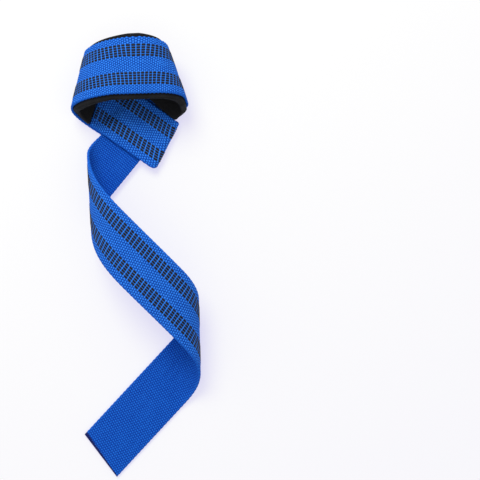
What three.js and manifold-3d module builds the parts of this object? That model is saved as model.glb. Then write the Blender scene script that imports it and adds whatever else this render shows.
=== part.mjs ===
// A lifting strap lying on a table: one length of woven webbing with a sewn eye at one end, a padded
// wrist loop drawn through that eye, and a free tail that curls twice.
// Millimetres and degrees, +Z up, the table at z = 0, the tail towards -Y.

import * as THREE from "three";
import Module from "manifold-3d";

const WEBBING = { width: 38, thickness: 2, edgeRound: 0.6 };
const LAYER_GAP = 0.3;
const LAYER_RISE = WEBBING.thickness + LAYER_GAP;

// The pad lines the loop. It stands proud of the webbing at both edges, and its ends have round corners.
// Towards its left end it draws in from the near edge.
const PAD = { thickness: 4.5, nearOverhang: 3.2, farOverhang: 2.8, edgeRound: 1.4, cornerRadius: 3 };
const PAD_START = { beforeCorner: 12, skew: 3 };
const PAD_END = { afterCorner: 0, skew: -16, drawIn: 4.4, drawInFrom: 30, drawInTo: 6 };

// The tail runs from its cut end to the right curl, over a low bow to the left curl, and into the eye.
const TAIL_HEADING = 47.2;
const CUT_SKEW = 10;
const TAIL_RIGHT = { skew: 45.9, curlRadius: 17.6, curlTurn: 162, bowRadius: 93 };
const TAIL_LEFT = { skew: 47.7, heelRadius: 10.3, heelTurn: 90, curlTurn: 173, bowRadius: 75 };

// The loop has a tight corner on each side of its flat floor, a steep right side and a long left arch.
const LOOP_RIGHT = { skew: 23.7, cornerRadius: 9.3, cornerTurn: 89, wall: 10, shoulderRadius: 15.2 };
const LOOP_LEFT = { skew: -21.6, cornerRadius: 14.2, cornerTurn: 117.6 };

// The eye's upper layer steps down beside the webbing that runs through it, and a bar of stitches
// holds its end on the lower layer. The webbing that runs through the eye is gathered a little narrower.
const EYE_RADIUS = 2.8;
const EYE_RAMP = { skew: -12, radius: 4, turn: 28, drop: 3.3 };
const EYE_GATHER = 0.87;
const SEAM = { length: 30, width: 1.5, inset: 1, sink: 0.2 };

const FOLD_STEP = 6;
const PAD_GRID = { rows: 66, columns: 8 };

const radians = THREE.MathUtils.degToRad;

/** Height gained along an arc of the given radius between two slopes. */
function climb(radius, fromSlope, toSlope) {
  return radius * (Math.cos(radians(fromSlope)) - Math.cos(radians(toSlope)));
}

/** Straight length between the two opposite bends of a ramp. */
function rampRun({ skew, radius, turn, drop }) {
  return (drop - 2 * climb(radius, 0, turn)) / Math.sin(radians(turn)) / Math.cos(radians(skew));
}

// What the two sides of the tail's bow and of the loop must climb to meet at the top.
const TAIL_TOP = climb(TAIL_RIGHT.curlRadius, 0, TAIL_RIGHT.curlTurn)
  + climb(TAIL_RIGHT.bowRadius, TAIL_RIGHT.curlTurn, 180);
const TAIL_LEFT_RADIUS = (TAIL_TOP - LAYER_RISE
  - climb(TAIL_LEFT.heelRadius, 0, TAIL_LEFT.heelTurn)
  - climb(TAIL_LEFT.bowRadius, TAIL_LEFT.curlTurn, 180))
  / climb(1, TAIL_LEFT.heelTurn, TAIL_LEFT.curlTurn);
const LOOP_TOP = LAYER_RISE
  + climb(LOOP_RIGHT.cornerRadius, 0, LOOP_RIGHT.cornerTurn)
  + LOOP_RIGHT.wall * Math.sin(radians(LOOP_RIGHT.cornerTurn))
  + climb(LOOP_RIGHT.shoulderRadius, LOOP_RIGHT.cornerTurn, 180);
const LOOP_LEFT_RADIUS = (LOOP_TOP - climb(LOOP_LEFT.cornerRadius, 0, LOOP_LEFT.cornerTurn))
  / climb(1, LOOP_LEFT.cornerTurn, 180);

// One row for each fold, from the tail's cut end to the sewn end. run is the flat length before the fold,
// skew the angle of the fold line from square across the webbing, radius and turn the bend itself, sway
// the small ease of the webbing within its own plane along the run, and gather the share of its full width
// at the bend's first and last line. near is the gather of the near half where that differs,
// and swayAt the share of the run before its sway where that isn't half.
const FOLDS = [
  { name: "tail_right_curl", run: 79, skew: TAIL_RIGHT.skew, radius: TAIL_RIGHT.curlRadius,
    turn: TAIL_RIGHT.curlTurn, sway: 0, gather: [1, 1] },
  { name: "tail_right_bow", run: 0, skew: TAIL_RIGHT.skew, radius: TAIL_RIGHT.bowRadius,
    turn: 180 - TAIL_RIGHT.curlTurn, sway: 0, gather: [1, 1] },
  { name: "tail_left_bow", run: 0, skew: TAIL_LEFT.skew, radius: TAIL_LEFT.bowRadius,
    turn: 180 - TAIL_LEFT.curlTurn, sway: 0, gather: [1, 1] },
  { name: "tail_left_curl", run: 0, skew: TAIL_LEFT.skew, radius: TAIL_LEFT_RADIUS,
    turn: TAIL_LEFT.curlTurn - TAIL_LEFT.heelTurn, sway: 0, gather: [1, 1] },
  { name: "tail_left_heel", run: 0, skew: TAIL_LEFT.skew, radius: TAIL_LEFT.heelRadius,
    turn: TAIL_LEFT.heelTurn, sway: 0, gather: [1, EYE_GATHER] },
  { name: "loop_right_corner", run: 69.3, skew: LOOP_RIGHT.skew, radius: LOOP_RIGHT.cornerRadius,
    turn: LOOP_RIGHT.cornerTurn, sway: -7.4, gather: [EYE_GATHER, 1], near: [0.68, 0.82] },
  { name: "loop_right_shoulder", run: LOOP_RIGHT.wall / Math.cos(radians(LOOP_RIGHT.skew)),
    skew: LOOP_RIGHT.skew, radius: LOOP_RIGHT.shoulderRadius, turn: 180 - LOOP_RIGHT.cornerTurn, sway: 0,
    gather: [1, 1], near: [0.92, 1] },
  { name: "loop_left_arch", run: 20.9, skew: LOOP_LEFT.skew, radius: LOOP_LEFT_RADIUS,
    turn: 180 - LOOP_LEFT.cornerTurn, sway: -11.6, gather: [1, 1] },
  { name: "loop_left_corner", run: 0, skew: LOOP_LEFT.skew, radius: LOOP_LEFT.cornerRadius,
    turn: LOOP_LEFT.cornerTurn, sway: 0, gather: [1, 1] },
  { name: "eye_fold", run: 56.9, skew: -3.6, radius: EYE_RADIUS, turn: 180, sway: 5, gather: [1, 1] },
  { name: "eye_ramp_down", run: 34.5, skew: EYE_RAMP.skew, radius: EYE_RAMP.radius,
    turn: EYE_RAMP.turn, sway: 11.9, swayAt: 0.03, gather: [1, 1] },
  { name: "eye_ramp_level", run: rampRun(EYE_RAMP), skew: EYE_RAMP.skew, radius: EYE_RAMP.radius,
    turn: -EYE_RAMP.turn, sway: 0, gather: [1, 1] },
  { name: "sewn_end", run: 12.7, skew: 15, radius: 0, turn: 0, sway: 0, gather: [1, 1] },
];

/**
 * Fold the flat webbing in space. Each station is a straight line across the webbing, with the centre
 * point, the direction along the webbing, the line's own direction and the normal of the plain side.
 */
function foldWebbing() {
  const centre = new THREE.Vector3(0, 0, WEBBING.thickness / 2);
  const along = new THREE.Vector3(Math.cos(radians(TAIL_HEADING)), Math.sin(radians(TAIL_HEADING)), 0);
  const normal = new THREE.Vector3(0, 0, 1);
  const across = new THREE.Vector3().crossVectors(normal, along);
  let length = 0;

  const lineAt = (skew) => across.clone().multiplyScalar(Math.cos(radians(skew)))
    .addScaledVector(along, Math.sin(radians(skew)));
  const stationAt = (fold, skew, gather, near) => ({
    fold, skew, gather, near, length, centre: centre.clone(), along: along.clone(), across: across.clone(),
    line: lineAt(skew), normal: normal.clone(),
  });
  const advance = (distance) => {
    centre.addScaledVector(along, distance);
    length += distance;
  };

  const stations = [stationAt("cut_end", CUT_SKEW, 1, 1)];
  for (const { name, run, skew, radius, turn, sway, swayAt = 0.5, gather, near = gather } of FOLDS) {
    advance(run * swayAt);
    along.applyAxisAngle(normal, radians(sway));
    across.applyAxisAngle(normal, radians(sway));
    advance(run * (1 - swayAt));
    const steps = Math.ceil(Math.abs(turn) / FOLD_STEP);
    if (steps === 0) {
      stations.push(stationAt(name, skew, gather[1], near[1]));
      continue;
    }
    const stepTurn = radians(turn) / steps;
    const stepArc = (2 * radius * Math.tan(Math.abs(stepTurn) / 2)) / Math.cos(radians(skew));
    for (let step = 0; step < steps; step += 1) {
      advance(stepArc / 2);
      const share = step / Math.max(steps - 1, 1);
      const [farShare, nearShare] = [gather, near].map((ends) => THREE.MathUtils.lerp(...ends, share));
      const station = stationAt(name, skew, farShare, nearShare);
      const hinge = station.line.clone().negate();
      for (const direction of [along, across, normal]) {
        direction.applyAxisAngle(hinge, stepTurn);
      }
      station.normal.add(normal).normalize();
      stations.push(station);
      advance(stepArc / 2);
    }
  }
  return stations;
}

/** A copy of a station's flat, moved along the webbing and given another skew. */
function slide(station, distance, skew) {
  const line = station.across.clone().multiplyScalar(Math.cos(radians(skew)))
    .addScaledVector(station.along, Math.sin(radians(skew)));
  return {
    ...station, skew, line, length: station.length + distance,
    centre: station.centre.clone().addScaledVector(station.along, distance),
  };
}

/** A flat section with eased edges, as [across, above] pairs that run once around it. */
function flatSection(near, far, bottom, top, round) {
  return [
    [near + round, bottom], [far - round, bottom], [far, bottom + round], [far, top - round],
    [far - round, top], [near + round, top], [near, top - round], [near, bottom + round],
  ];
}

/** The point of a station's line at a distance across the flat webbing. */
function pointAcross(station, across) {
  const share = across < 0 ? station.near : station.gather;
  return station.centre.clone()
    .addScaledVector(station.line, (across * share) / Math.cos(radians(station.skew)));
}

/** A closed solid through the sections that stand on the stations. */
function loft(stations, sectionOf) {
  const positions = [];
  const indices = [];
  let around = 0;
  for (const station of stations) {
    const section = sectionOf(station);
    around = section.length;
    for (const [across, above] of section) {
      const point = pointAcross(station, across).addScaledVector(station.normal, above);
      positions.push(point.x, point.y, point.z);
    }
  }
  const last = (stations.length - 1) * around;
  for (let start = 0; start < last; start += around) {
    for (let side = 0; side < around; side += 1) {
      const next = (side + 1) % around;
      indices.push(start + side, start + next, start + around + side);
      indices.push(start + next, start + around + next, start + around + side);
    }
  }
  for (let side = 1; side < around - 1; side += 1) {
    indices.push(0, side + 1, side);
    indices.push(last, last + side, last + side + 1);
  }
  const geometry = new THREE.BufferGeometry();
  geometry.setAttribute("position", new THREE.Float32BufferAttribute(positions, 3));
  geometry.setIndex(indices);
  return geometry;
}

/** The bar of stitches that holds the webbing's end down on the layer under it. */
function sewnSeam(end) {
  const place = slide(end, -SEAM.inset, end.skew);
  const bottom = WEBBING.thickness / 2 - SEAM.sink;
  const top = end.centre.z - WEBBING.thickness + SEAM.sink;
  const half = SEAM.length / 2;
  const bar = [[-half, bottom], [half, bottom], [half, top], [-half, top]];
  return loft([slide(place, -SEAM.width, end.skew), place], () => bar);
}

/** A point above the folded webbing, found by its place on the flat webbing. */
function pointOver(stations, along, across, above) {
  const placeOf = (station) => station.length + across * Math.tan(radians(station.skew));
  const after = stations.findIndex((station) => placeOf(station) >= along);
  const [from, to] = [stations[after - 1], stations[after]];
  const share = (along - placeOf(from)) / (placeOf(to) - placeOf(from));
  const normal = from.normal.clone().lerp(to.normal, share).normalize();
  return pointAcross(from, across).lerp(pointAcross(to, across), share).addScaledVector(normal, above);
}

/** Depth of a quarter round at a distance from the edge that it rounds. */
function roundDepth(radius, distance) {
  const short = Math.max(radius - distance, 0);
  return radius - Math.sqrt(radius * radius - short * short);
}

/** Places from one edge to the other, close together where both edges are rounded. */
function places(from, to, count) {
  const eased = [0, 0.12, 0.45, 1].map((share) => share * PAD.edgeRound);
  const inner = (to - from - 2 * PAD.edgeRound) / count;
  const middle = Array.from({ length: count - 1 }, (_, step) => from + PAD.edgeRound + inner * (step + 1));
  return [...eased.map((ease) => from + ease), ...middle, ...eased.reverse().map((ease) => to - ease)];
}

/** The pad: a flat blank with round corners and eased edges, wrapped on the plain side of the loop. */
function wrapPad(stations) {
  const firstOf = (name) => stations.find((station) => station.fold === name).length;
  const startLength = firstOf("loop_right_corner") - PAD_START.beforeCorner;
  const leftCorner = stations.filter((station) => station.fold === "loop_left_corner");
  const endLength = leftCorner[leftCorner.length - 1].length + PAD_END.afterCorner;
  const near = -WEBBING.width / 2 - PAD.nearOverhang;
  const far = WEBBING.width / 2 + PAD.farOverhang;
  const bottom = WEBBING.thickness / 2 + LAYER_GAP;

  const lower = [];
  const upper = [];
  for (const across of places(near, far, PAD_GRID.columns)) {
    const edgeDistance = Math.min(across - near, far - across);
    const corner = roundDepth(PAD.cornerRadius, edgeDistance);
    const start = startLength + across * Math.tan(radians(PAD_START.skew)) + corner;
    const end = endLength + across * Math.tan(radians(PAD_END.skew)) - corner;
    const lowerRow = [];
    const upperRow = [];
    for (const along of places(start, end, PAD_GRID.rows)) {
      const inset = Math.min(edgeDistance, along - start, end - along);
      const ease = roundDepth(PAD.edgeRound, inset);
      const toEnd = endLength - along;
      const drawn = 1 - THREE.MathUtils.smoothstep(toEnd, PAD_END.drawInTo, PAD_END.drawInFrom);
      const place = across + PAD_END.drawIn * drawn * ((far - across) / (far - near));
      lowerRow.push(pointOver(stations, along, place, bottom + ease));
      upperRow.push(pointOver(stations, along, place, bottom + PAD.thickness - ease));
    }
    lower.push(lowerRow);
    upper.push(upperRow);
  }
  return closedShell(lower, upper);
}

/** A closed solid between two grids of points with the same rows and columns. */
function closedShell(lower, upper) {
  const rows = lower.length;
  const columns = lower[0].length;
  const points = [...lower.flat(), ...upper.flat()];
  const below = (row, column) => row * columns + column;
  const above = (row, column) => rows * columns + below(row, column);
  const indices = [];
  const quad = (a, b, c, d) => indices.push(a, b, c, a, c, d);
  const lastRow = rows - 1;
  const lastColumn = columns - 1;
  for (let row = 0; row < lastRow; row += 1) {
    const next = row + 1;
    for (let column = 0; column < lastColumn; column += 1) {
      quad(below(row, column), below(next, column), below(next, column + 1), below(row, column + 1));
      quad(above(row, column), above(row, column + 1), above(next, column + 1), above(next, column));
    }
    quad(below(row, 0), above(row, 0), above(next, 0), below(next, 0));
    quad(below(next, lastColumn), above(next, lastColumn), above(row, lastColumn), below(row, lastColumn));
  }
  for (let column = 0; column < lastColumn; column += 1) {
    const next = column + 1;
    quad(below(0, next), above(0, next), above(0, column), below(0, column));
    quad(below(lastRow, column), above(lastRow, column), above(lastRow, next), below(lastRow, next));
  }
  const geometry = new THREE.BufferGeometry();
  const positions = points.flatMap((point) => point.toArray());
  geometry.setAttribute("position", new THREE.Float32BufferAttribute(positions, 3));
  geometry.setIndex(indices);
  return geometry;
}

const wasm = await Module();
wasm.setup();

/** The join of two closed geometries. */
function join(first, second) {
  const solidOf = (geometry) => new wasm.Manifold(new wasm.Mesh({
    numProp: 3,
    vertProperties: new Float32Array(geometry.attributes.position.array),
    triVerts: new Uint32Array(geometry.index.array),
  }));
  const mesh = solidOf(first).add(solidOf(second)).getMesh();
  const geometry = new THREE.BufferGeometry();
  geometry.setAttribute("position", new THREE.BufferAttribute(mesh.vertProperties, 3));
  geometry.setIndex(new THREE.BufferAttribute(mesh.triVerts, 1));
  return geometry;
}

const stations = foldWebbing();
const webbingSection = flatSection(
  -WEBBING.width / 2, WEBBING.width / 2, -WEBBING.thickness / 2, WEBBING.thickness / 2, WEBBING.edgeRound,
);
const webbing = join(loft(stations, () => webbingSection), sewnSeam(stations[stations.length - 1]));
const pad = wrapPad(stations);

const webbingStrap = new THREE.Mesh(
  webbing,
  new THREE.MeshStandardMaterial({ color: 0x1c5ec4, roughness: 0.85, metalness: 0 }),
);
webbingStrap.name = "webbing_strap";

const wristPad = new THREE.Mesh(
  pad,
  new THREE.MeshStandardMaterial({ color: 0x1d1d20, roughness: 0.95, metalness: 0 }),
);
wristPad.name = "wrist_pad";

const strap = new THREE.Group();
strap.add(webbingStrap, wristPad);

// The origin is on the table, under the middle of the strap's box.
const middle = new THREE.Box3().setFromObject(strap).getCenter(new THREE.Vector3());
strap.position.set(-middle.x, -middle.y, 0);
strap.updateMatrixWorld(true);

export default strap;
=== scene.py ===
"""Looks of a lifting strap that lies on a pale table.

Woven webbing with dashed grip bands is folded into a padded wrist loop that is drawn through its sewn eye,
and its free tail curls twice.
"""

import logging
import math
from dataclasses import dataclass, field
from enum import Enum
from typing import Callable, Union

import bpy
import numpy as np
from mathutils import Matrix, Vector


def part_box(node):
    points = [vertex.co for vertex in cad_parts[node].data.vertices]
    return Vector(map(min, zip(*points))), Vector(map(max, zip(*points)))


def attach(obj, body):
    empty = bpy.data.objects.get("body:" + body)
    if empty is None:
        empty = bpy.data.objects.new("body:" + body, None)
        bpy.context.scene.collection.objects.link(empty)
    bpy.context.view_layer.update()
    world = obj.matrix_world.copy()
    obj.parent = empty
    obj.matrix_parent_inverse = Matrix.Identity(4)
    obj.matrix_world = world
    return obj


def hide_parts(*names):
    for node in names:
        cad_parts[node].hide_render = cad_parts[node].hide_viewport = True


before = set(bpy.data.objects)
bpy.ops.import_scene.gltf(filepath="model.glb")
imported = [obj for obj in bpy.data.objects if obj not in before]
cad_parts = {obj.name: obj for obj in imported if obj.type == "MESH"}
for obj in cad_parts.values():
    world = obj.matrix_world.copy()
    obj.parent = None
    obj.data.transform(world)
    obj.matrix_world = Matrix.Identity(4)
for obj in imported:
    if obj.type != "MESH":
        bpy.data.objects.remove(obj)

LOG = logging.getLogger("lifting_strap")
MILLIMETRE = 0.001
PLACE_MAP = "webbing_place"
BAKE_MAP = "OFBake"
CROWN_SPAN = 2 / 3
CROWN_REST = 1 / 3

Socket = Union[bpy.types.NodeSocket, float, tuple]


class Face(Enum):
    """The finishes of the webbing, in the order of its material slots."""

    PATTERN = 0
    PLAIN = 1
    SEALED = 2


def turned(vector: np.ndarray, axis: np.ndarray, angle: float) -> np.ndarray:
    """Turn a vector about a unit axis by radians, by the right-hand rule."""
    along = axis * np.dot(axis, vector)
    return along + (vector - along) * math.cos(angle) + np.cross(axis, vector) * math.sin(angle)


def climb(radius: float, from_slope: float, to_slope: float) -> float:
    """Height gained along an arc between two slopes, in degrees."""
    return radius * (math.cos(math.radians(from_slope)) - math.cos(math.radians(to_slope)))


def smooth_step(low: float, high: float, value: np.ndarray) -> np.ndarray:
    """An eased step from 0 at low to 1 at high."""
    share = np.clip((value - low) / (high - low), 0, 1)
    return share * share * (3 - 2 * share)


def quarter_round(radius: float, distance: np.ndarray) -> np.ndarray:
    """Depth of a quarter round at a distance from the edge that it rounds."""
    short = np.clip(radius - distance, 0, radius)
    return radius - np.sqrt(radius * radius - short * short)


@dataclass(frozen=True)
class Fold:
    """One fold of the webbing: the flat run before it, and the bend's line and size, in mm and degrees.

    The widths are shares of the webbing's full width at the bend's first and last line, and the near widths
    are those of its near half where that is drawn in further. The sway is a turn in the webbing's own plane,
    at a share of the run.
    """

    name: str
    run: float
    skew: float
    radius: float
    turn: float
    sway: float = 0.0
    first_width: float = 1.0
    last_width: float = 1.0
    first_near: float | None = None
    last_near: float | None = None
    sway_at: float = 0.5

    def widths(self, steps: int) -> np.ndarray:
        """Shares of the full width on the lines of the bend.

        Args:
            steps: How many lines there are.

        Returns:
            One row for each line, with the share of the far half and that of the near half.
        """
        near = (self.first_near or self.first_width, self.last_near or self.last_width)
        far = (self.first_width, self.last_width)
        return np.stack([np.linspace(*far, steps), np.linspace(*near, steps)], axis=1)


@dataclass
class FoldedCourse:
    """The way that the flat webbing is folded on the table, from the tail's cut end to the sewn end."""

    width: float = 38.0
    thickness: float = 2.0
    heading: float = 47.2
    cut_skew: float = 10.0
    layer_rise: float = 2.3
    longest_step: float = 1.0
    widest_turn: float = 2.0
    tail_right_skew: float = 45.9
    tail_right_curl: float = 17.6
    tail_right_turn: float = 162.0
    tail_right_bow: float = 93.0
    tail_left_skew: float = 47.7
    tail_left_heel: float = 10.3
    tail_left_turn: float = 173.0
    tail_left_bow: float = 75.0
    loop_right_skew: float = 23.7
    loop_right_corner: float = 9.3
    loop_right_turn: float = 89.0
    loop_right_wall: float = 10.0
    loop_right_shoulder: float = 15.2
    loop_left_skew: float = -21.6
    loop_left_corner: float = 14.2
    loop_left_turn: float = 117.6
    eye_radius: float = 2.8
    eye_gather: float = 0.87
    eye_ramp_skew: float = -12.0
    eye_ramp_radius: float = 4.0
    eye_ramp_turn: float = 28.0
    eye_ramp_drop: float = 3.3
    batch: int = 4096
    names: list = field(default_factory=list)
    length: np.ndarray = None
    slope: np.ndarray = None
    centre: np.ndarray = None
    reach: np.ndarray = None
    widths: np.ndarray = None
    normal: np.ndarray = None
    shift: np.ndarray = None

    def __post_init__(self) -> None:
        """Fold the webbing as soon as its sizes are known."""
        self.shift = np.zeros(3)
        self.fold()

    def folds(self) -> list:
        """The table of folds, in which some radii follow from the heights that have to meet.

        Returns:
            A Fold for each bend, and one of no turn for the sewn end.
        """
        right, left = self.tail_right_turn, self.tail_left_turn
        tail_top = climb(self.tail_right_curl, 0, right) + climb(self.tail_right_bow, right, 180)
        tail_left = tail_top - self.layer_rise - climb(self.tail_left_heel, 0, 90)
        tail_left = (tail_left - climb(self.tail_left_bow, left, 180)) / climb(1, 90, left)
        steep, arched = self.loop_right_turn, self.loop_left_turn
        loop_top = self.layer_rise + climb(self.loop_right_corner, 0, steep)
        loop_top += self.loop_right_wall * math.sin(math.radians(steep))
        loop_top += climb(self.loop_right_shoulder, steep, 180)
        loop_left = (loop_top - climb(self.loop_left_corner, 0, arched)) / climb(1, arched, 180)
        wall = self.loop_right_wall / math.cos(math.radians(self.loop_right_skew))
        slope = math.radians(self.eye_ramp_turn)
        ramp = self.eye_ramp_drop - 2 * climb(self.eye_ramp_radius, 0, self.eye_ramp_turn)
        ramp /= math.sin(slope) * math.cos(math.radians(self.eye_ramp_skew))
        thin = self.eye_gather
        return [
            Fold("tail_right_curl", 79, self.tail_right_skew, self.tail_right_curl, right),
            Fold("tail_right_bow", 0, self.tail_right_skew, self.tail_right_bow, 180 - right),
            Fold("tail_left_bow", 0, self.tail_left_skew, self.tail_left_bow, 180 - left),
            Fold("tail_left_curl", 0, self.tail_left_skew, tail_left, left - 90),
            Fold("tail_left_heel", 0, self.tail_left_skew, self.tail_left_heel, 90, last_width=thin),
            Fold("loop_right_corner", 69.3, self.loop_right_skew, self.loop_right_corner, steep, sway=-7.4,
                 first_width=thin, first_near=0.68, last_near=0.82),
            Fold("loop_right_shoulder", wall, self.loop_right_skew, self.loop_right_shoulder, 180 - steep,
                 first_near=0.92),
            Fold("loop_left_arch", 20.9, self.loop_left_skew, loop_left, 180 - arched, sway=-11.6),
            Fold("loop_left_corner", 0, self.loop_left_skew, self.loop_left_corner, arched),
            Fold("eye_fold", 56.9, -3.6, self.eye_radius, 180, sway=5),
            Fold("eye_ramp_down", 34.5, self.eye_ramp_skew, self.eye_ramp_radius, self.eye_ramp_turn,
                 sway=11.9, sway_at=0.03),
            Fold("eye_ramp_level", ramp, self.eye_ramp_skew, self.eye_ramp_radius, -self.eye_ramp_turn),
            Fold("sewn_end", 12.7, 15, 0, 0),
        ]

    def fold(self) -> None:
        """Fold the webbing in space as straight lines across it, close together in the bends."""
        heading = math.radians(self.heading)
        centre = np.array([0.0, 0.0, self.thickness / 2])
        along = np.array([math.cos(heading), math.sin(heading), 0.0])
        normal = np.array([0.0, 0.0, 1.0])
        across = np.cross(normal, along)
        length = 0.0
        rows = [("cut_end", length, self.cut_skew, centre, across, along, normal, (1.0, 1.0))]
        for fold in self.folds():
            centre = centre + along * fold.run * fold.sway_at
            along = turned(along, normal, math.radians(fold.sway))
            across = turned(across, normal, math.radians(fold.sway))
            centre = centre + along * fold.run * (1 - fold.sway_at)
            length += fold.run
            skew = math.radians(fold.skew)
            turn = math.radians(fold.turn)
            arc = fold.radius * abs(turn) / math.cos(skew)
            steps = math.ceil(max(abs(fold.turn) / self.widest_turn, arc / self.longest_step))
            if steps == 0:
                rows.append((fold.name, length, fold.skew, centre, across, along, normal, fold.widths(2)[1]))
                continue
            half = fold.radius * math.tan(abs(turn) / steps / 2) / math.cos(skew)
            for width in fold.widths(steps):
                centre = centre + along * half
                length += half
                hinge = -(across * math.cos(skew) + along * math.sin(skew))
                flat = (across, along)
                along, across, tipped = (turned(v, hinge, turn / steps) for v in (along, across, normal))
                middle = (normal + tipped) / np.linalg.norm(normal + tipped)
                rows.append((fold.name, length, fold.skew, centre, *flat, middle, width))
                normal = tipped
                centre = centre + along * half
                length += half
        names, lengths, skews, centres, sides, ahead, normals, widths = zip(*rows)
        self.names = list(names)
        self.length = np.array(lengths)
        self.slope = np.tan(np.radians(skews))
        self.centre = np.array(centres)
        self.reach = np.array(sides) + np.array(ahead) * self.slope[:, None]
        self.widths = np.array(widths)
        self.normal = np.array(normals)

    def first(self, name: str) -> float:
        """Length along the webbing at which a fold begins."""
        return float(self.length[self.names.index(name)])

    def last(self, name: str) -> float:
        """Length along the webbing at which a fold ends."""
        return float(self.length[len(self.names) - 1 - self.names[::-1].index(name)])

    def place(self, along: np.ndarray, across: np.ndarray, above: np.ndarray) -> np.ndarray:
        """Places on the folded webbing, from places on the flat webbing.

        Args:
            along: Millimetres from the cut end.
            across: Millimetres from the webbing's middle line.
            above: Millimetres from the middle of its thickness, towards the plain side.

        Returns:
            One row of x, y and z in metres for each place.
        """
        flat = np.broadcast_arrays(along, across, above)
        flat = np.stack([np.asarray(values, float).ravel() for values in flat])
        parts = []
        for start in range(0, flat.shape[1], self.batch):
            run, side, rise = flat[:, start:start + self.batch, None]
            at = self.length[None, :] + side * self.slope[None, :]
            after = np.clip((at < run).sum(axis=1), 1, len(self.length) - 1)
            before = after - 1
            rows = np.arange(len(run))
            low, high = at[rows, before], at[rows, after]
            share = ((run[:, 0] - low) / (high - low))[:, None]
            half = (side[:, 0] < 0).astype(int)
            first, second = (
                self.centre[line] + self.reach[line] * side * self.widths[line, half][:, None]
                for line in (before, after)
            )
            normal = self.normal[before] * (1 - share) + self.normal[after] * share
            normal /= np.linalg.norm(normal, axis=1)[:, None]
            parts.append(first * (1 - share) + second * share + normal * rise)
        return np.concatenate(parts) * MILLIMETRE + self.shift

    def settle(self) -> None:
        """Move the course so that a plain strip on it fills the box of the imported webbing."""
        across = np.array([-self.width / 2, self.width / 2])[None, :]
        along = self.length[:, None] + self.slope[:, None] * across
        faces = (-self.thickness / 2, self.thickness / 2)
        points = np.concatenate([self.place(along, across, above) for above in faces])
        low, high = (np.array(corner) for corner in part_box("webbing_strap"))
        middle = (points.min(axis=0) + points.max(axis=0)) / 2
        self.shift = (low + high) / 2 - middle
        self.shift[2] = 0.0


@dataclass(frozen=True)
class WeaveGrid:
    """The weave on the flat webbing, in mm: columns of floats across it, staggered from one to the next.

    A place in the weave is its grain, the length of yarn from the cut end, and its distance across. The yarn
    is crowded on the loop. The ridge is the share of the relief that runs straight across the webbing. The
    weft is shaken by waves, each a share, the grain and the distance across for one radian, and a start.
    """

    course: FoldedCourse
    repeat: float = 3.45
    row_pitch: float = 1.7
    first_row: float = -0.145
    ridge: float = 0.36
    band_rows: tuple = (-5, 6)
    band_reach: float = 4.3
    eye_lean: float = 0.15
    end_reach: float = 30.0
    shake: float = 0.14
    shake_waves: tuple = ((1.0, 4.9, 6.8, 0.0), (0.7, 2.2, -3.0, 1.3))
    calm: float = 14.0
    loop_crowding: float = 0.17
    crowding_reach: float = 12.0
    samples: int = 2001

    @property
    def total(self) -> float:
        """Grain of the sewn end."""
        return float(self.yarn_lengths()[0][-1])

    def yarn_lengths(self) -> tuple:
        """How the yarn is spread along the webbing.

        Returns:
            The grain and the length along the webbing of places from end to end.
        """
        course = self.course
        length = np.linspace(0, course.length[-1], self.samples)
        first, last = course.first("loop_right_corner"), course.last("loop_left_corner")
        loop = smooth_step(first - self.crowding_reach, first, length)
        loop = loop * (1 - smooth_step(last, last + self.crowding_reach, length))
        share = 1 + self.loop_crowding * loop
        grown = np.cumsum((share[1:] + share[:-1]) / 2 * np.diff(length))
        return np.concatenate([[0.0], grown]), length

    def bands(self) -> tuple:
        """Places across of the middles of the dashed bands."""
        return tuple(self.first_row + self.row_pitch * row for row in self.band_rows)

    def inset(self, grain: np.ndarray) -> np.ndarray:
        """Distance of places along the yarn from the nearer end."""
        return np.minimum(grain, self.total - grain)

    def along(self, grain: np.ndarray, across: np.ndarray) -> np.ndarray:
        """Length along the webbing of places in the weave, whose weft leans in the tail and in the eye.

        Args:
            grain: Places along the yarn.
            across: Places across the webbing.

        Returns:
            Millimetres from the cut end.
        """
        course = self.course
        length = np.interp(grain, *self.yarn_lengths())
        tail = 1 - smooth_step(course.last("tail_left_heel"), course.first("loop_right_corner"), length)
        eye = smooth_step(course.last("loop_left_corner"), course.first("eye_fold"), length)
        end = smooth_step(self.total - self.end_reach, self.total, grain)
        lean = course.slope[0] * tail + self.eye_lean * eye + (course.slope[-1] - self.eye_lean) * end
        still = smooth_step(0, self.calm, self.inset(grain))
        shaken = sum(share * np.sin(grain / run + across / side + start)
                     for share, run, side, start in self.shake_waves)
        return length + lean * across + self.shake * still * shaken

    def crown(self, grain: np.ndarray, across: np.ndarray, back: np.ndarray) -> np.ndarray:
        """Height of the weave.

        Args:
            grain: Places along the yarn.
            across: Places across the webbing.
            back: 1 on the plain side, whose floats lie between those of the pattern side, and 0 on that side.

        Returns:
            Heights from 0 in the gaps to 1 on the floats.
        """
        column = 2 * math.pi * grain / self.repeat
        row = 2 * math.pi * (across - self.first_row) / self.row_pitch + math.pi * back
        height = self.ridge * np.cos(2 * column) + (1 - self.ridge) * np.cos(column) * np.cos(row)
        return np.clip(CROWN_SPAN * height + CROWN_REST, 0, 1)

    def lay(self, shape: np.ndarray, grains: np.ndarray, lines: np.ndarray) -> np.ndarray:
        """Lay copies of a flat shape on the pattern side of the folded webbing.

        Args:
            shape: The shape's vertices, as grain, across and up from the webbing's face.
            grains: Grain of each column of copies.
            lines: Place across of each copy in a column.

        Returns:
            One row of x, y and z in metres for each vertex of each copy.
        """
        grain, across = (a.reshape(-1, 1) for a in np.meshgrid(grains, lines, indexing="ij"))
        across = across + shape[None, :, 1]
        along = self.along(grain + shape[None, :, 0], across)
        return self.course.place(along, across, -self.course.thickness / 2 - shape[None, :, 2])


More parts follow.
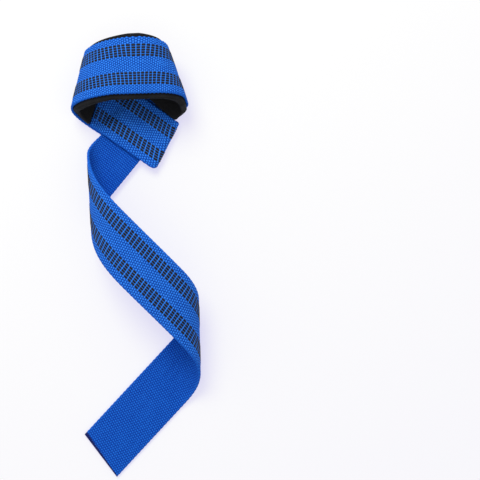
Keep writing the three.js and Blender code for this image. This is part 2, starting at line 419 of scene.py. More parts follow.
def mesh_piece(name: str, points: np.ndarray, faces: list) -> bpy.types.Object:
    """A smooth-shaded mesh object at the origin.

    Args:
        name: The piece's name.
        points: One row of x, y and z for each vertex.
        faces: The vertex numbers of each face, anticlockwise from outside.

    Returns:
        The new object.
    """
    mesh = bpy.data.meshes.new(name)
    mesh.from_pydata(points.tolist(), [], faces)
    mesh.shade_smooth()
    piece = bpy.data.objects.new(name, mesh)
    bpy.context.scene.collection.objects.link(piece)
    return piece


def add_map(piece: bpy.types.Object, name: str, corners: np.ndarray) -> None:
    """Give a piece a UV map, one row of two numbers for each face corner."""
    layer = piece.data.uv_layers.new(name=name)
    layer.uv.foreach_set("vector", corners.astype(np.float32).ravel())


def take_shape(piece: bpy.types.Object) -> tuple:
    """Take the shape of a modelled object, and remove the object.

    Args:
        piece: The object.

    Returns:
        One row of x, y and z for each vertex, and the vertex numbers of each face.
    """
    points = np.array([vertex.co for vertex in piece.data.vertices])
    faces = [list(polygon.vertices) for polygon in piece.data.polygons]
    bpy.data.objects.remove(piece)
    return points, faces


def scaled_primitive(add: Callable, scale: tuple, **settings: object) -> bpy.types.Object:
    """Add a primitive at the origin and stretch it.

    Args:
        add: The operator that adds it.
        scale: Its scale on each axis, which is applied.
        settings: What else the operator is told.

    Returns:
        The new object.
    """
    bpy.ops.object.select_all(action="DESELECT")
    add(**settings)
    piece = bpy.context.object
    piece.scale = scale
    bpy.ops.object.transform_apply(location=False, rotation=False, scale=True)
    return piece


def copied_faces(faces: list, size: int, copies: range) -> list:
    """Faces of numbered copies, in one mesh, of a shape with a number of vertices."""
    return [[copy * size + corner for corner in face] for copy in copies for face in faces]


class NodeBench:
    """Adds nodes to one node tree and joins them."""

    def __init__(self, tree: bpy.types.NodeTree) -> None:
        """Take up the tree to work on."""
        self.tree = tree

    def feed(self, node: bpy.types.Node, inputs: dict) -> None:
        """Feed a node's inputs.

        Args:
            node: The node.
            inputs: A socket to link or a plain value to set, by the input's name or number.
        """
        for key, value in inputs.items():
            if isinstance(value, bpy.types.NodeSocket):
                self.tree.links.new(value, node.inputs[key])
            else:
                node.inputs[key].default_value = value

    def add(self, kind: str, inputs: dict | None = None, **settings: object) -> bpy.types.Node:
        """Add a node.

        Args:
            kind: The node's type, without its ShaderNode prefix where it has one.
            inputs: What feeds the node.
            settings: Values of the node's own properties.

        Returns:
            The new node.
        """
        node = self.tree.nodes.new(kind if kind.startswith("Node") else "ShaderNode" + kind)
        for key, value in settings.items():
            setattr(node, key, value)
        self.feed(node, inputs or {})
        return node

    def math(self, operation: str, *values: Socket) -> bpy.types.NodeSocket:
        """The result of a Math node."""
        return self.add("Math", dict(enumerate(values)), operation=operation).outputs[0]

    def clamp(self, value: Socket) -> bpy.types.NodeSocket:
        """A value kept between 0 and 1."""
        return self.add("Clamp", {0: value}).outputs[0]

    def ramp(self, value: Socket, low: Socket, high: Socket) -> bpy.types.NodeSocket:
        """An eased step from 0 at low to 1 at high."""
        return self.add("MapRange", {0: value, 1: low, 2: high}, interpolation_type="SMOOTHSTEP").outputs[0]

    def mix(self, share: Socket, first: Socket, second: Socket, blend: str = "MIX") -> bpy.types.NodeSocket:
        """A colour between two colours."""
        inputs = {0: share, 6: first, 7: second}
        return self.add("Mix", inputs, data_type="RGBA", blend_type=blend).outputs[2]

    def noise(self, place: Socket, scale: Socket, detail: float = 2.0) -> bpy.types.NodeSocket:
        """The grey value of a noise texture."""
        return self.add("TexNoise", {"Vector": place, "Scale": scale, "Detail": detail}).outputs[0]

    def point(self, x: Socket, y: Socket) -> bpy.types.NodeSocket:
        """A vector from two values."""
        return self.add("CombineXYZ", {0: x, 1: y}).outputs[0]

    def bump(self, height: Socket, strength: float, distance: float) -> bpy.types.NodeSocket:
        """The normal of a surface in relief, whose full height is a distance in metres."""
        inputs = {"Height": height, "Strength": strength, "Distance": distance}
        return self.add("Bump", inputs).outputs["Normal"]

    def group(self, name: str, **values: Socket) -> bpy.types.Node:
        """Place a node group and feed its inputs, whose names take spaces for underscores."""
        inputs = {key.replace("_", " "): value for key, value in values.items()}
        return self.add("Group", inputs, node_tree=bpy.data.node_groups[name])


@dataclass(frozen=True)
class EffectShelf:
    """The node groups that the finishes share. Weave places are in mm, and noise scales for each mm."""

    spot_scale: float = 0.6
    spot_weight: float = 1.3
    warp_stretch: float = 0.05
    warp_weight: float = 0.8
    cloud_scale: float = 0.07
    cloud_weight: float = 0.6
    twist_slant: float = 1.1
    twist_squeeze: float = 6.0
    fibre_scale: float = 1.4
    fibre_weight: float = 0.7
    gap_crown: float = 0.02
    full_crown: float = 0.8
    gap_roughness: float = 0.94
    crown_polish: float = 0.14
    ragged_scale: float = 0.9
    ragged_depth: float = 1.4
    melt_blur: float = 0.35
    fuzz_detail: float = 3.0

    def build(self) -> None:
        """Make every group."""
        for make in (self.make_floats, self.make_yarn_shade, self.make_seal, self.make_fuzz):
            make()

    @staticmethod
    def open_group(name: str, inputs: dict, outputs: dict) -> tuple:
        """Begin a node group.

        Args:
            name: The group's name.
            inputs: The type of each input socket, by name.
            outputs: The type of each output socket, by name.

        Returns:
            The bench on the group's tree, the sockets that it is given, and its output node.
        """
        tree = bpy.data.node_groups.new(name, "ShaderNodeTree")
        for side, sockets in (("INPUT", inputs), ("OUTPUT", outputs)):
            for socket, kind in sockets.items():
                tree.interface.new_socket(name=socket, in_out=side, socket_type="NodeSocket" + kind)
        bench = NodeBench(tree)
        return bench, bench.add("NodeGroupInput").outputs, bench.add("NodeGroupOutput")

    def make_floats(self) -> None:
        """Height of the weave: columns of floats across the webbing, staggered from one to the next."""
        names = ("Grain", "Across", "Repeat", "Row pitch", "First row", "Back", "Ridge")
        inputs = dict.fromkeys(names, "Float")
        bench, given, made = self.open_group("woven_floats", inputs, {"Crown": "Float"})
        column = bench.math("DIVIDE", given["Grain"], given["Repeat"])
        row = bench.math("SUBTRACT", given["Across"], given["First row"])
        row = bench.math("DIVIDE", row, given["Row pitch"])
        row = bench.math("MULTIPLY_ADD", given["Back"], 0.5, row)
        ribs, columns, rows = (
            bench.math("COSINE", bench.math("MULTIPLY", phase, halves * math.pi))
            for phase, halves in ((column, 4), (column, 2), (row, 2))
        )
        floats = bench.math("MULTIPLY", columns, rows)
        apart = bench.math("SUBTRACT", ribs, floats)
        height = bench.math("MULTIPLY_ADD", apart, given["Ridge"], floats)
        crown = bench.clamp(bench.math("MULTIPLY_ADD", height, CROWN_SPAN, CROWN_REST))
        bench.feed(made, {"Crown": crown})

    def make_yarn_shade(self) -> None:
        """Colour of dyed yarn from its height in the weave, with painted shade in the gaps between floats,
        uneven from float to float and on the whole.
        """
        bench, given, made = self.open_group(
            "yarn_shade",
            {"Crown": "Float", "Grain": "Float", "Across": "Float", "Gap colour": "Color",
             "Crown colour": "Color", "Unevenness": "Float"},
            {"Color": "Color", "Roughness": "Float", "Fibre": "Float"},
        )
        grain, across = given["Grain"], given["Across"]
        place = bench.point(grain, across)
        streak = bench.point(bench.math("MULTIPLY", grain, self.warp_stretch), across)
        slant = bench.math("MULTIPLY_ADD", across, self.twist_slant, grain)
        twist = bench.point(slant, bench.math("MULTIPLY", across, self.twist_squeeze))
        fibre = bench.noise(twist, self.fibre_scale)
        tones = (
            (bench.noise(place, self.spot_scale, 1.0), self.spot_weight),
            (bench.noise(streak, self.spot_scale), self.warp_weight),
            (bench.noise(place, self.cloud_scale), self.cloud_weight),
            (fibre, self.fibre_weight),
        )
        change = 0.0
        for tone, weight in tones:
            change = bench.math("MULTIPLY_ADD", bench.math("SUBTRACT", tone, 0.5), weight, change)
        lift = bench.math("MULTIPLY", change, given["Unevenness"])
        # The gap colour is painted shade: it darkens the gaps between floats, where shade falls.
        shown = bench.ramp(given["Crown"], self.gap_crown, self.full_crown)
        level = bench.clamp(bench.math("ADD", shown, lift))
        bench.feed(made, {
            "Color": bench.mix(level, given["Gap colour"], given["Crown colour"]),
            "Roughness": bench.math("MULTIPLY_ADD", level, -self.crown_polish, self.gap_roughness),
            "Fibre": fibre,
        })

    def make_seal(self) -> None:
        """Share of melted yarn near the cut, ragged and deeper at one edge than at the other."""
        inputs = dict.fromkeys(("Grain", "Across", "Depth", "Slope"), "Float")
        bench, given, made = self.open_group("melted_share", inputs, {"Share": "Float"})
        grain, across = given["Grain"], given["Across"]
        ragged = bench.math("SUBTRACT", bench.noise(bench.point(grain, across), self.ragged_scale), 0.5)
        depth = bench.math("MULTIPLY_ADD", across, given["Slope"], given["Depth"])
        depth = bench.math("MULTIPLY_ADD", ragged, self.ragged_depth, depth)
        woven = bench.ramp(bench.math("SUBTRACT", grain, depth), -self.melt_blur, self.melt_blur)
        bench.feed(made, {"Share": bench.math("SUBTRACT", 1.0, woven)})

    def make_fuzz(self) -> None:
        """Height of fine loose fibres of a given size."""
        inputs = {"Place": "Vector", "Size": "Float"}
        bench, given, made = self.open_group("fibre_fuzz", inputs, {"Height": "Float"})
        scale = bench.math("DIVIDE", 1.0, given["Size"])
        bench.feed(made, {"Height": bench.noise(given["Place"], scale, self.fuzz_detail)})


def new_material(name: str) -> tuple:
    """A new material.

    Args:
        name: The material's name.

    Returns:
        The material, a bench on its tree and its Principled shader.
    """
    material = bpy.data.materials.new(name)
    material.use_nodes = True
    bench = NodeBench(material.node_tree)
    return material, bench, material.node_tree.nodes["Principled BSDF"]


@dataclass(frozen=True)
class WovenFinish:
    """Dyed cotton yarn on one side of the webbing, with painted shade in the gaps of its weave and its cut
    end melted, in mm.
    """

    name: str
    grid: WeaveGrid
    back: float
    shaded_gap_colour: tuple
    crown_colour: tuple
    relief: float
    bands: tuple = ()
    band_blur: float = 0.4
    band_level: float = 0.5
    band_even: float = 0.85
    unevenness: float = 0.4
    edge_colour: tuple = (0.012, 0.14, 0.66, 1)
    edge_from: float = 1.5
    edge_to: float = 0.3
    edge_share: float = 0.5
    melt_colour: tuple = (0.006, 0.013, 0.11, 1)
    melt_depth: float = 1.6
    melt_slope: float = 0.045
    melt_polish: float = 0.35
    specular: float = 0.1
    fuzz_size: float = 0.35
    fibre_relief: float = 0.2
    bump_strength: float = 0.8

    def make(self) -> bpy.types.Material:
        """Make the finish as a material that reads the webbing's own map.

        Returns:
            The material.
        """
        material, bench, shader = new_material(self.name)
        grid, width = self.grid, self.grid.course.width
        parts = bench.add("SeparateXYZ", {0: bench.add("UVMap", uv_map=PLACE_MAP).outputs[0]})
        grain = bench.math("MULTIPLY", parts.outputs[0], grid.total)
        across = bench.math("MULTIPLY", bench.math("SUBTRACT", parts.outputs[1], 0.5), width)
        place = {"Grain": grain, "Across": across}
        weave = bench.group("woven_floats", **place, Repeat=grid.repeat, Row_pitch=grid.row_pitch,
                            First_row=grid.first_row, Back=self.back, Ridge=grid.ridge)
        shown = weave.outputs["Crown"]
        for band in self.bands:
            beside = bench.math("ABSOLUTE", bench.math("SUBTRACT", across, band))
            outside = bench.ramp(beside, grid.band_reach - self.band_blur, grid.band_reach + self.band_blur)
            inside = bench.math("SUBTRACT", 1.0, outside)
            lift = bench.math("MULTIPLY", bench.math("SUBTRACT", self.band_level, shown), self.band_even)
            shown = bench.math("MULTIPLY_ADD", lift, inside, shown)
        shade = bench.group("yarn_shade", **place, Crown=shown, Gap_colour=self.shaded_gap_colour,
                            Crown_colour=self.crown_colour, Unevenness=self.unevenness).outputs
        seal = bench.group("melted_share", **place, Depth=self.melt_depth, Slope=self.melt_slope)
        melted = seal.outputs["Share"]
        off_middle = bench.math("ABSOLUTE", across)
        edge = bench.ramp(off_middle, width / 2 - self.edge_from, width / 2 - self.edge_to)
        colour = bench.mix(bench.math("MULTIPLY", edge, self.edge_share), shade["Color"], self.edge_colour)
        fuzz = bench.group("fibre_fuzz", Place=bench.point(grain, across), Size=self.fuzz_size)
        height = bench.math("MULTIPLY_ADD", fuzz.outputs["Height"], self.fibre_relief, shown)
        height = bench.math("MULTIPLY_ADD", shade["Fibre"], self.fibre_relief, height)
        bench.feed(shader, {
            "Base Color": bench.mix(melted, colour, self.melt_colour),
            "Roughness": bench.math("MULTIPLY_ADD", melted, -self.melt_polish, shade["Roughness"]),
            "Specular IOR Level": self.specular,
            "Normal": bench.bump(height, self.bump_strength, self.relief * MILLIMETRE),
        })
        return material


@dataclass(frozen=True)
class GrainFinish:
    """A dull finish whose tone changes in soft clouds under a fine grain, with sizes in metres."""

    name: str
    dark: tuple
    light: tuple
    cloud_size: float
    grain_size: float
    roughness: float
    specular: float
    relief: float
    cloud_share: float = 0.5
    dark_level: float = 0.32
    light_level: float = 0.7
    roughness_drop: float = 0.12
    roughness_span: float = 0.25
    bump_strength: float = 0.5

    def make(self) -> bpy.types.Material:
        """Make the finish as a material on object coordinates.

        Returns:
            The material.
        """
        material, bench, shader = new_material(self.name)
        place = bench.add("TexCoord").outputs["Object"]
        clouds = bench.noise(place, 1 / self.cloud_size)
        grain = bench.group("fibre_fuzz", Place=place, Size=self.grain_size).outputs["Height"]
        share = bench.math("MULTIPLY", clouds, self.cloud_share)
        share = bench.math("MULTIPLY_ADD", grain, 1 - self.cloud_share, share)
        share = bench.ramp(share, self.dark_level, self.light_level)
        smoothest = self.roughness - self.roughness_drop
        bench.feed(shader, {
            "Base Color": bench.mix(share, self.dark, self.light),
            "Roughness": bench.math("MULTIPLY_ADD", clouds, self.roughness_span, smoothest),
            "Specular IOR Level": self.specular,
            "Normal": bench.bump(grain, self.bump_strength, self.relief),
        })
        return material


@dataclass
class WebbingStrap:
    """The woven strap, from the tail's melted cut to the sewn end, with sizes in mm."""

    grid: WeaveGrid
    steps: int = 6
    eye_thinning: int = 3
    rows: int = 44
    edge_angles: tuple = (-35, 35)
    relief: float = 0.16
    band_relief: float = 0.25
    flat_end: float = 0.3
    woven_from: float = 2.5
    scallop_depth: float = 0.2
    loop_scallop: float = 0.28
    scallop_reach: float = 2.0
    loop_ease: float = 12.0
    melt: float = 0.5
    melt_shares: tuple = (0, 0.2, 0.6)
    melt_clear: float = 0.8
    melt_edge: float = 0.35
    pinch_depth: float = 1.8
    pinch_reach: float = 3.2
    pinch_from: float = 12.0
    pinch_far: float = 0.5
    bake_strips: int = 3
    bake_end: float = 0.005
    bake_gutter: float = 0.04
    bake_cut: float = 0.001
    piece: bpy.types.Object = None

    def section(self) -> tuple:
        """The section once around, across the pattern side from its left edge and back across the plain side.

        Returns:
            Places across, places above the middle of the thickness, and 1 on the two flat sides.
        """
        spacing = self.grid.row_pitch / 2
        low = self.grid.first_row - spacing * (self.rows // 2 - 1)
        flat = low + spacing * np.arange(self.rows)
        half, top = self.grid.course.width / 2, self.grid.course.thickness / 2
        angles = np.radians(self.edge_angles)
        right = flat[-1] + (half - flat[-1]) * np.cos(angles)
        left = flat[0] - (half + flat[0]) * np.cos(angles)
        rise = top * np.sin(angles)
        across = np.concatenate([flat, right, flat[::-1], left])
        above = np.concatenate([np.full(self.rows, -top), rise, np.full(self.rows, top), -rise])
        sides = np.tile(np.repeat([1.0, 0.0], [self.rows, len(angles)]), 2)
        return across, above, sides

    def columns(self) -> np.ndarray:
        """Grain of each section: a few to each repeat, fewer inside the eye and closer on the melted ends.

        Returns:
            Millimetres, from the cut end to the sewn end.
        """
        course, total = self.grid.course, self.grid.total
        even = np.arange(0, total, self.grid.repeat / self.steps)
        in_eye = (even > course.last("tail_left_heel")) & (even < course.first("loop_right_corner"))
        even = even[~(in_eye & (np.arange(len(even)) % self.eye_thinning == 1))]
        ends = self.melt * np.array(self.melt_shares)
        inner = even[self.grid.inset(even) > self.melt_clear * self.melt]
        return np.concatenate([ends, inner, total - ends[::-1]])

    def woven(self, grain: np.ndarray) -> np.ndarray:
        """Share of the weave that is left near the melted ends."""
        return smooth_step(self.flat_end, self.woven_from, self.grid.inset(grain))

    def heights(self, grain: np.ndarray, across: np.ndarray) -> np.ndarray:
        """Heights above the middle of the thickness, with the weave as relief on both sides.

        Args:
            grain: Grain of each place, one row for each section.
            across: Place across, likewise.

        Returns:
            Millimetres, more than 0 on the plain side.
        """
        _, above, flat = self.section()
        crown = self.grid.crown(grain, across, above > 0)
        banded = np.any([np.abs(across - band) < self.grid.band_reach for band in self.grid.bands()], axis=0)
        depth = np.where(banded & (above < 0), self.band_relief, 1.0) * self.relief
        dent = depth * self.woven(grain) * flat * (1 - crown)
        inner = np.clip(self.grid.inset(grain) / self.melt, 0, 1)
        squash = self.melt_edge + (1 - self.melt_edge) * np.sqrt(1 - (1 - inner) ** 2)
        return (above - np.sign(above) * dent) * squash

    def drawn_in(self, grain: np.ndarray, along: np.ndarray, across: np.ndarray) -> np.ndarray:
        """How far places are drawn in: the edges are scalloped by the weft, and pinched at the eye's fold.

        Args:
            grain: Grain of each place.
            along: Its length along the webbing.
            across: Its place across.

        Returns:
            Millimetres towards the middle line.
        """
        course = self.grid.course
        half, beside = course.width / 2, np.abs(across)
        loose = smooth_step(half - self.scallop_reach, half, beside) * self.woven(grain)
        first, last = course.first("loop_right_shoulder"), course.last("loop_left_arch")
        bent = smooth_step(first, first + self.loop_ease, along)
        bent = bent * (1 - smooth_step(last - self.loop_ease, last, along))
        swing = (self.scallop_depth + self.loop_scallop * bent) / 2
        scallop = -swing * np.cos(2 * math.pi * grain / self.grid.repeat) * loose
        crease = (course.first("eye_fold") + course.last("eye_fold")) / 2
        pinch = self.pinch_depth * np.exp(-((along - crease) / self.pinch_reach) ** 2)
        pinch = pinch * smooth_step(self.pinch_from, half, beside) * np.where(across < 0, 1, self.pinch_far)
        return scallop + pinch

    def build(self) -> None:
        """Make the closed mesh of the folded webbing, its weave in relief, with the maps that it needs."""
        grains = self.columns()
        grain, across = np.meshgrid(grains, self.section()[0], indexing="ij")
        count, around = grain.shape
        course = self.grid.course
        along = self.grid.along(grain, across)
        side_place = across - np.sign(across) * self.drawn_in(grain, along, across)
        points = course.place(along, side_place, self.heights(grain, across))
        column, side = np.indices((count - 1, around)).reshape(2, -1)
        columns = np.stack([column, column, column + 1, column + 1], axis=1)
        sides = np.stack([side, side + 1, side + 1, side], axis=1)
        faces = (columns * around + sides % around).tolist()
        faces.append(list(range(around))[::-1])
        faces.append(list(range((count - 1) * around, count * around)))
        kinds = np.where(side < self.rows, Face.PATTERN.value, Face.PLAIN.value)
        kinds = np.append(kinds, [Face.SEALED.value, Face.SEALED.value])
        self.piece = mesh_piece("webbing", points, faces)
        self.piece.data.polygons.foreach_set("material_index", kinds.astype(np.int32))
        flat = np.stack([grain.ravel() / self.grid.total, across.ravel() / course.width + 0.5], axis=1)
        corners = np.empty(len(self.piece.data.loops), dtype=np.int32)
        self.piece.data.loops.foreach_get("vertex_index", corners)
        add_map(self.piece, PLACE_MAP, flat[corners])
        add_map(self.piece, BAKE_MAP, self.bake_corners(grains, columns, sides))

    def bake_corners(self, grains: np.ndarray, columns: np.ndarray, sides: np.ndarray) -> np.ndarray:
        """The map for baking: the strap cut in equal lengths, whose two sides lie one above the other.

        Args:
            grains: Grain of each section.
            columns: Number of the section at each corner of the strap's faces.
            sides: Number of the place around the section at each corner, which runs on past the last place.

        Returns:
            Two numbers for each face corner, with those of the two end faces last.
        """
        across, above, _ = self.section()
        ring = np.stack([across, above], axis=1)
        steps = np.linalg.norm(np.diff(ring, axis=0, append=ring[:1]), axis=1)
        developed = np.concatenate([[0], np.cumsum(steps)])
        split = self.rows + len(self.edge_angles) // 2
        cuts = np.linspace(0, len(grains) - 1, self.bake_strips + 1).astype(int)
        strip = np.searchsorted(cuts, columns[:, :1], side="right") - 1
        back = (sides[:, :1] >= split).astype(int)
        low, high = grains[cuts[strip]], grains[cuts[strip + 1]]
        right = self.bake_end + (1 - 2 * self.bake_end) * (grains[columns] - low) / (high - low)
        bottom = np.where(back, developed[split], 0)
        top = np.where(back, developed[-1], developed[split])
        up = self.bake_gutter + (1 - 2 * self.bake_gutter) * (developed[sides] - bottom) / (top - bottom)
        up = (2 * strip + back + up) / (2 * self.bake_strips)
        body = np.stack([right.ravel(), up.ravel()], axis=1)
        end = np.stack([across / self.grid.course.width + 0.5, self.bake_cut * (1 + above / 2)], axis=1)
        return np.concatenate([body, end[::-1], end + [0, 2 * self.bake_cut]])

    def dress(self) -> None:
        """Give each side of the webbing its colours, and its ends their melted yarn."""
        finishes = [
            # Each woven side's gap colour is painted shade in the gaps between its floats.
            WovenFinish("webbing_pattern_side", self.grid, back=0.0, shaded_gap_colour=(0.002, 0.043, 0.32, 1),
                        crown_colour=(0.037, 0.262, 0.96, 1), relief=0.3, bands=self.grid.bands()),
            WovenFinish("webbing_plain_side", self.grid, back=1.0, shaded_gap_colour=(0.002, 0.042, 0.33, 1),
                        crown_colour=(0.013, 0.157, 0.715, 1), relief=0.28),
            GrainFinish("sealed_cut", dark=(0.008, 0.014, 0.12, 1), light=(0.022, 0.045, 0.3, 1),
                        cloud_size=0.0015, grain_size=0.0006, roughness=0.55, specular=0.3, relief=0.0002),
        ]
        for finish in finishes:
            self.piece.data.materials.append(finish.make())
        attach(self.piece, "root")
        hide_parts("webbing_strap")


@dataclass
class GripYarns:
    """The raised rubber yarns of the two dashed bands, with sizes in mm."""

    grid: WeaveGrid
    rows: int = 5
    end_gap: float = 1.7
    dash_length: float = 2.68
    dash_width: float = 1.36
    dash_cuts: int = 3
    bevel: float = 0.16
    proud: float = 0.15
    sunk: float = 0.4
    slack: float = 1e-4
    piece: bpy.types.Object = None

    def model_dash(self) -> tuple:
        """Model one dash on the flat: a cube stretched to size, cut across and rounded on top.

        Returns:
            Its vertices, as grain, across and up from the webbing's face, and its faces.
        """
        scale = (self.dash_length, self.dash_width, self.proud + self.sunk)
        dash = scaled_primitive(bpy.ops.mesh.primitive_cube_add, scale, size=1)
        self.pick_edges(dash, lambda a, b: abs(a.x - b.x) > self.dash_length / 2)
        bpy.ops.mesh.subdivide(number_cuts=self.dash_cuts)
        bpy.ops.object.mode_set(mode="OBJECT")
        tip, side, high = (size / 2 - self.slack for size in scale)
        self.pick_edges(dash, lambda a, b: min(a.z, b.z) > high and (
            min(abs(a.y), abs(b.y)) > side or min(abs(a.x), abs(b.x)) > tip))
        bpy.ops.mesh.bevel(offset=self.bevel, segments=1, affect="EDGES")
        bpy.ops.object.mode_set(mode="OBJECT")
        points, faces = take_shape(dash)
        points[:, 2] += (self.proud - self.sunk) / 2
        return points, faces

    @staticmethod
    def pick_edges(piece: bpy.types.Object, wanted: Callable) -> None:
        """Select some edges of a piece, and stay in edit mode.

        Args:
            piece: The active object.
            wanted: A test of the places of an edge's two ends.
        """
        bpy.ops.object.mode_set(mode="EDIT")
        bpy.ops.mesh.select_mode(type="EDGE")
        bpy.ops.mesh.select_all(action="DESELECT")
        bpy.ops.object.mode_set(mode="OBJECT")
        for edge in piece.data.edges:
            edge.select = wanted(*(piece.data.vertices[i].co for i in edge.vertices))
        bpy.ops.object.mode_set(mode="EDIT")

    def build(self) -> None:
        """Lay copies of the dash in rows along both bands of the folded webbing."""
        shape, faces = self.model_dash()
        grains = np.arange(self.grid.repeat, self.grid.total - self.end_gap, self.grid.repeat)
        rows = self.grid.row_pitch * (np.arange(self.rows) - self.rows // 2)
        lines = np.add.outer(self.grid.bands(), rows).ravel()
        points = self.grid.lay(shape, grains, lines)
        mirrored = [face[::-1] for face in faces]
        copies = range(len(grains) * len(lines))
        self.piece = mesh_piece("grip_yarns", points, copied_faces(mirrored, len(shape), copies))

    def dress(self) -> None:
        """Give the yarns their rubber."""
        rubber = GrainFinish("grip_rubber", dark=(0.003, 0.0024, 0.002, 1), light=(0.013, 0.0095, 0.0075, 1),
                             cloud_size=0.003, grain_size=0.0004, roughness=0.6, specular=0.2, relief=0.00012)
        self.piece.data.materials.append(rubber.make())
        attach(self.piece, "root")


@dataclass
class EyeStitches:
    """Two rows of thread through the eye's sewn end and the layer under it, with sizes in mm."""

    grid: WeaveGrid
    rows: tuple = (2.4, 5.0)
    count: int = 10
    pitch: float = 3.3
    length: float = 2.7
    thread: float = 0.7
    proud: float = 0.25
    segments: int = 8
    rings: int = 6
    piece: bpy.types.Object = None

    def build(self) -> None:
        """Lay copies of one stitch across the upper face, and the same under the lower layer."""
        scale = (self.thread, self.length, 2 * self.proud)
        stitch = scaled_primitive(bpy.ops.mesh.primitive_uv_sphere_add, scale, segments=self.segments,
                                  ring_count=self.rings, radius=0.5)
        shape, faces = take_shape(stitch)
        lines = self.pitch * (np.arange(self.count) - (self.count - 1) / 2)
        grains = self.grid.total - np.array(self.rows)
        copies = len(grains) * len(lines)
        upper = self.grid.lay(shape, grains, lines)
        lower = self.grid.lay(shape * [1, 1, 0], grains, lines)
        lower[:, 2] = -np.tile(shape[:, 2], copies) * MILLIMETRE
        mirrored = [face[::-1] for face in faces]
        laid = copied_faces(mirrored, len(shape), range(copies))
        laid += copied_faces(faces, len(shape), range(copies, 2 * copies))
        self.piece = mesh_piece("eye_stitches", np.concatenate([upper, lower]), laid)

    def dress(self) -> None:
        """Give the stitches their thread."""
        thread = GrainFinish("sewing_thread", dark=(0.004, 0.03, 0.2, 1), light=(0.012, 0.09, 0.45, 1),
                             cloud_size=0.002, grain_size=0.0003, roughness=0.7, specular=0.2, relief=0.0001)
        self.piece.data.materials.append(thread.make())
        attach(self.piece, "root")


@dataclass
class WristPad:
    """The foam pad that lines the wrist loop, with sizes in mm."""

    course: FoldedCourse
    gap: float = 0.3
    thickness: float = 4.5
    near_overhang: float = 3.2
    far_overhang: float = 2.8
    edge_round: float = 1.2
    round_lines: int = 7
    corner_radius: float = 3.0
    start_before: float = 12.0
    start_skew: float = 3.0
    end_after: float = 0.0
    end_skew: float = -16.0
    draw_in: float = 4.4
    draw_in_from: float = 30.0
    draw_in_to: float = 6.0
    rows: int = 190
    columns: int = 26
    piece: bpy.types.Object = None

    def places(self, low: np.ndarray, high: np.ndarray, count: int) -> np.ndarray:
        """Places from one edge to the other, close together where the edges are rounded.

        Args:
            low: The first edge, one value or one for each line.
            high: The other edge.
            count: Steps between the rounds.

        Returns:
            The places along the last axis.
        """
        ease = self.edge_round * (1 - np.cos(np.radians(np.linspace(0, 90, self.round_lines))))
        inner = np.linspace(0, 1, count + 1)[1:-1]
        low, high = (np.atleast_1d(edge)[:, None] for edge in (low, high))
        middle = low + self.edge_round + (high - low - 2 * self.edge_round) * inner[None, :]
        return np.concatenate([low + ease[None, :], middle, high - ease[None, ::-1]], axis=1)

    def build(self) -> None:
        """Wrap a flat blank with round corners and eased edges on the plain side of the loop."""
        near = -self.course.width / 2 - self.near_overhang
        far = self.course.width / 2 + self.far_overhang
        across = self.places(near, far, self.columns)[0]
        inset_across = np.minimum(across - near, far - across)
        corner = quarter_round(self.corner_radius, inset_across)
        first = self.course.first("loop_right_corner") - self.start_before
        last = self.course.last("loop_left_corner") + self.end_after
        start = first + across * math.tan(math.radians(self.start_skew)) + corner
        end = last + across * math.tan(math.radians(self.end_skew)) - corner
        along = self.places(start, end, self.rows)
        inset_along = np.minimum(along - start[:, None], end[:, None] - along)
        ease = quarter_round(self.edge_round, np.minimum(inset_along, inset_across[:, None]))
        bottom = self.course.thickness / 2 + self.gap
        drawn = self.draw_in * (1 - smooth_step(self.draw_in_to, self.draw_in_from, last - along))
        wide = across[:, None] + drawn * ((far - across) / (far - near))[:, None]
        lower = self.course.place(along, wide, bottom + ease)
        upper = self.course.place(along, wide, bottom + self.thickness - ease)
        points = np.concatenate([lower, upper])
        self.piece = mesh_piece("wrist_lining", points, self.shell_faces(*along.shape).tolist())

    @staticmethod
    def shell_faces(lines: int, steps: int) -> np.ndarray:
        """Faces of a closed shell between two grids of points.

        Args:
            lines: Lines of each grid.
            steps: Points on each line.

        Returns:
            One row of four vertex numbers for each face.
        """
        grid = np.arange(lines * steps).reshape(lines, steps)
        top = grid + lines * steps

        def quads(*corners: np.ndarray) -> np.ndarray:
            """Rows of four from four arrays of corners."""
            return np.stack([corner.ravel() for corner in corners], axis=1)

        return np.concatenate([
            quads(grid[:-1, :-1], grid[1:, :-1], grid[1:, 1:], grid[:-1, 1:]),
            quads(top[:-1, :-1], top[:-1, 1:], top[1:, 1:], top[1:, :-1]),
            quads(grid[:-1, 0], top[:-1, 0], top[1:, 0], grid[1:, 0]),
            quads(grid[1:, -1], top[1:, -1], top[:-1, -1], grid[:-1, -1]),
            quads(grid[0, 1:], top[0, 1:], top[0, :-1], grid[0, :-1]),
            quads(grid[-1, :-1], top[-1, :-1], top[-1, 1:], grid[-1, 1:]),
        ])

    def dress(self) -> None:
        """Give the pad its foam."""
        foam = GrainFinish("pad_foam", dark=(0.005, 0.005, 0.006, 1), light=(0.014, 0.0142, 0.016, 1),
                           cloud_size=0.009, grain_size=0.0006, roughness=0.85, specular=0.15, relief=0.0002)
        self.piece.data.materials.append(foam.make())
        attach(self.piece, "root")
        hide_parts("wrist_pad")


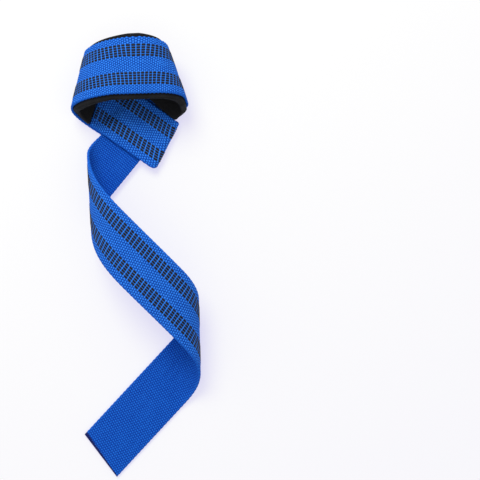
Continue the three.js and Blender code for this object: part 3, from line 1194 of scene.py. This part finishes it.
@dataclass
class Studio:
    """A pale table, soft light from the upper left, and a camera straight above, in metres."""

    camera_place: tuple = (0.07380, 0.013345, 0.9731)
    lens: float = 101.65
    sensor: float = 36.0
    nearest: float = 0.01
    floor_size: float = 6.0
    floor_drop: float = 0.0003
    floor_colour: tuple = (0.36, 0.39, 0.17, 1)
    floor_glow: tuple = (0.591, 0.555, 0.807, 1)
    floor_roughness: float = 0.9
    tone_scale: float = 3.0
    tone_low: float = 0.99
    tone_span: float = 0.02
    key_place: tuple = (-0.25, 0.68, 0.88)
    key_size: float = 0.6
    key_power: float = 8.0
    sky_colour: tuple = (1.0, 1.0, 1.0, 1)
    sky_strength: float = 0.66

    def build(self) -> None:
        """Set the table, the light and the camera."""
        view = bpy.context.scene.view_settings
        view.view_transform = "Standard"
        view.look = "None"
        self.set_floor()
        self.set_sky()
        self.set_key()
        self.set_camera()

    def set_camera(self) -> None:
        """A camera that looks straight down."""
        camera = bpy.data.cameras.new("camera_above")
        camera.lens = self.lens
        camera.sensor_width = self.sensor
        camera.clip_start = self.nearest
        holder = bpy.data.objects.new("camera_above", camera)
        holder.location = self.camera_place
        bpy.context.scene.collection.objects.link(holder)
        bpy.context.scene.camera = holder

    def set_floor(self) -> None:
        """A wide plane with a little glow, so that its shadows stay pale and take a painted lilac tint."""
        bpy.ops.object.select_all(action="DESELECT")
        bpy.ops.mesh.primitive_plane_add(size=self.floor_size, location=(0, 0, -self.floor_drop))
        floor = bpy.context.object
        floor.name = "table"
        bpy.ops.object.transform_apply(location=True, rotation=False, scale=False)
        material, bench, shader = new_material("pale_table")
        tone = bench.noise(bench.add("TexCoord").outputs["Object"], self.tone_scale)
        change = bench.math("MULTIPLY_ADD", tone, self.tone_span, self.tone_low)
        # A bluish glow over a yellowish base colour paints a lilac tint into the floor's shadows, in place of
        # bluish bounce light.
        bench.feed(shader, {
            "Base Color": bench.mix(1.0, self.floor_colour, change, "MULTIPLY"),
            "Roughness": self.floor_roughness,
            "Specular IOR Level": 0.0,
            "Emission Color": self.floor_glow,
            "Emission Strength": 1.0,
        })
        floor.data.materials.append(material)

    def set_sky(self) -> None:
        """Even light from all around."""
        world = bpy.data.worlds.new("soft_room")
        world.use_nodes = True
        back = world.node_tree.nodes["Background"]
        NodeBench(world.node_tree).feed(back, {"Color": self.sky_colour, "Strength": self.sky_strength})
        bpy.context.scene.world = world

    def set_key(self) -> None:
        """One large soft lamp that points at the middle of the table."""
        lamp = bpy.data.lights.new("soft_key", "AREA")
        lamp.shape = "DISK"
        lamp.size = self.key_size
        lamp.energy = self.key_power
        holder = bpy.data.objects.new("soft_key", lamp)
        holder.location = self.key_place
        aim = -Vector(self.key_place)
        holder.rotation_euler = aim.to_track_quat("-Z", "Y").to_euler()
        bpy.context.scene.collection.objects.link(holder)


def main() -> None:
    """Build the studio and the strap's pieces in order."""
    logging.basicConfig(level=logging.INFO, format="%(name)s: %(message)s")
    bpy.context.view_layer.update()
    Studio().build()
    EffectShelf().build()
    course = FoldedCourse()
    course.settle()
    grid = WeaveGrid(course)
    strap = WebbingStrap(grid)
    yarns = GripYarns(grid)
    stitches = EyeStitches(grid)
    pad = WristPad(course)
    for part in (strap, yarns, stitches, pad):
        part.build()
        part.dress()
        part.piece.data.calc_loop_triangles()
        LOG.info("%s: %d triangles", part.piece.name, len(part.piece.data.loop_triangles))


if __name__ == "__main__":
    main()
